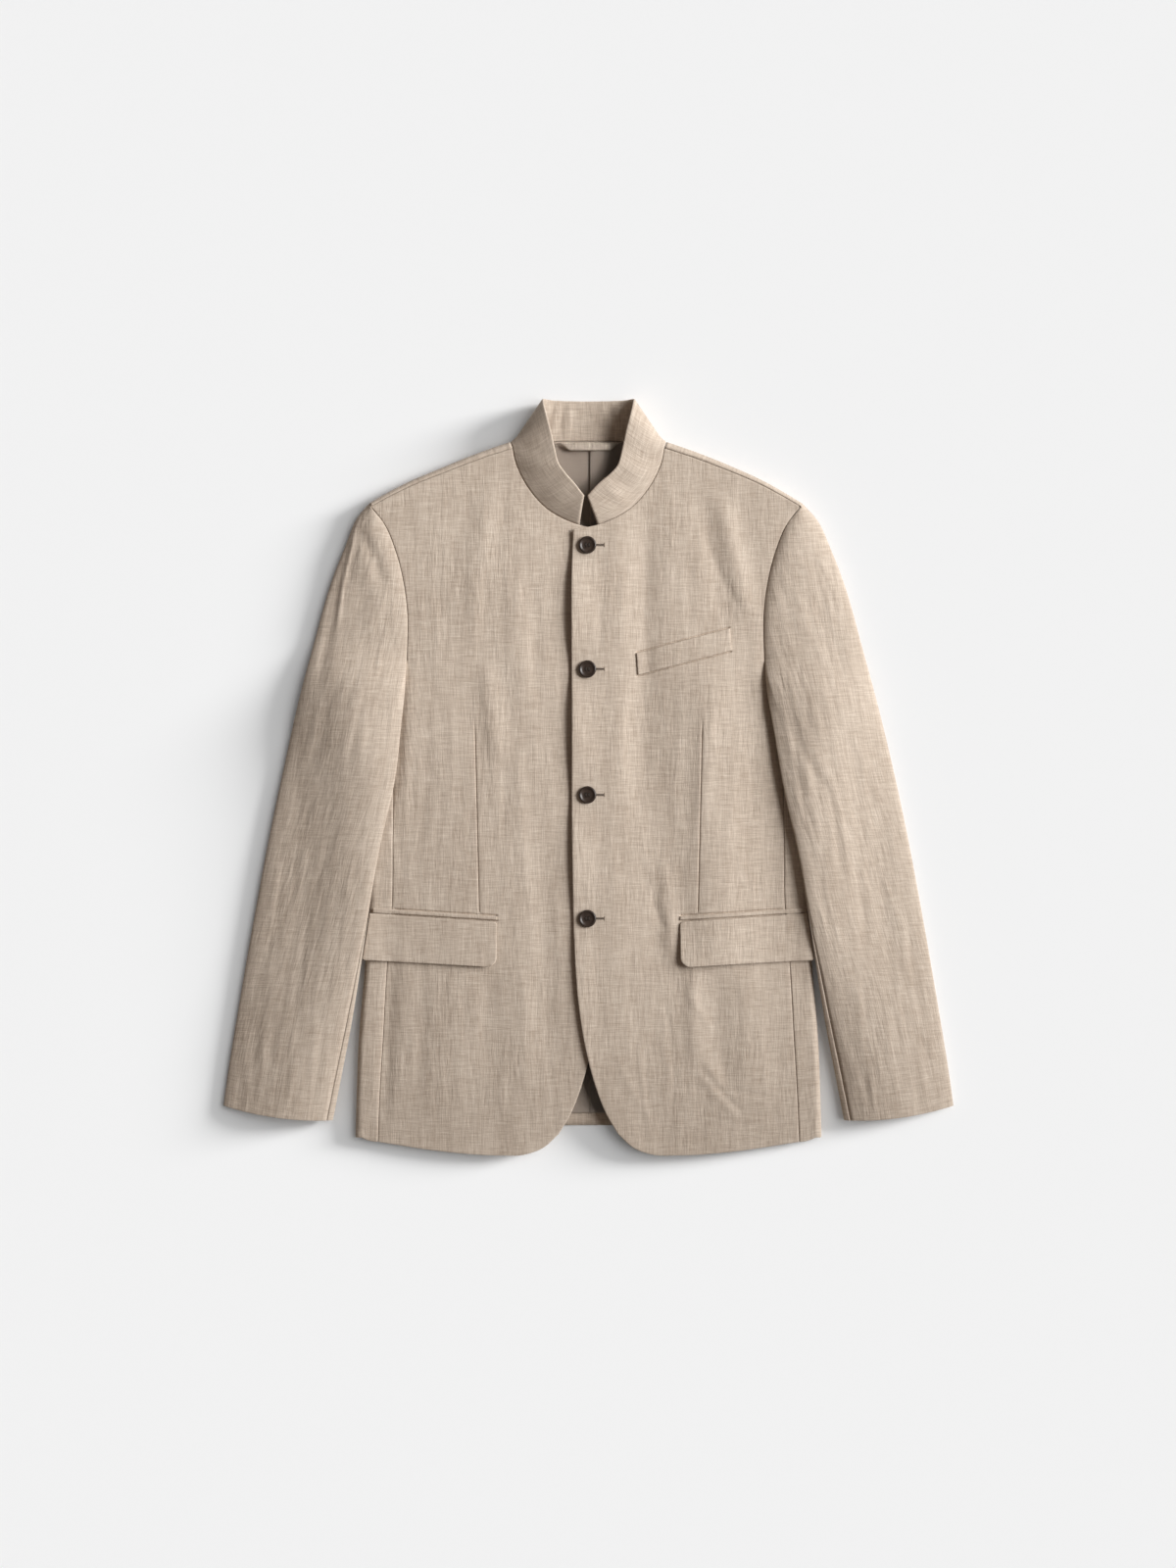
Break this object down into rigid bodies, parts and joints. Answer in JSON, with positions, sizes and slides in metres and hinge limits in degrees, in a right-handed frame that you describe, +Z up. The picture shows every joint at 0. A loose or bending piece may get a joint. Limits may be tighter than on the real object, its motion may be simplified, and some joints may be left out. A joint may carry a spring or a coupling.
{
  "type": "jacket",
  "caption": "Linen jacket with a stand collar, buttoned front, flap pockets and a chest welt, laid out flat with its front up.",
  "frame": {"origin": "middle of the surface that the jacket lies on, under the centre of its outline", "axes": "+Y towards the collar, +X towards the wearer's left, +Z up out of the front"},
  "size_m": [0.7612, 0.7881, 0.0346],
  "materials": {
    "linen": "woven linen, matte",
    "lining_cloth": "smooth lining, slight sheen",
    "horn": "dark horn, polished"
  },
  "bodies": {
    "root": {"back": "linen", "front_left": "linen", "front_right": "linen", "side_left": "linen", "side_right": "linen", "sleeve_top_left": "linen", "sleeve_top_right": "linen", "sleeve_under_left": "linen", "sleeve_under_right": "linen", "collar": "linen", "pocket_flap_left": "linen", "pocket_flap_right": "linen", "pocket_jet_left": "linen", "pocket_jet_right": "linen", "chest_welt": "linen", "hanger_loop": "linen", "lining_left": "lining_cloth", "lining_right": "lining_cloth", "button_1": "horn", "button_2": "horn", "button_3": "horn", "button_4": "horn"}
  },
  "joints": []
}
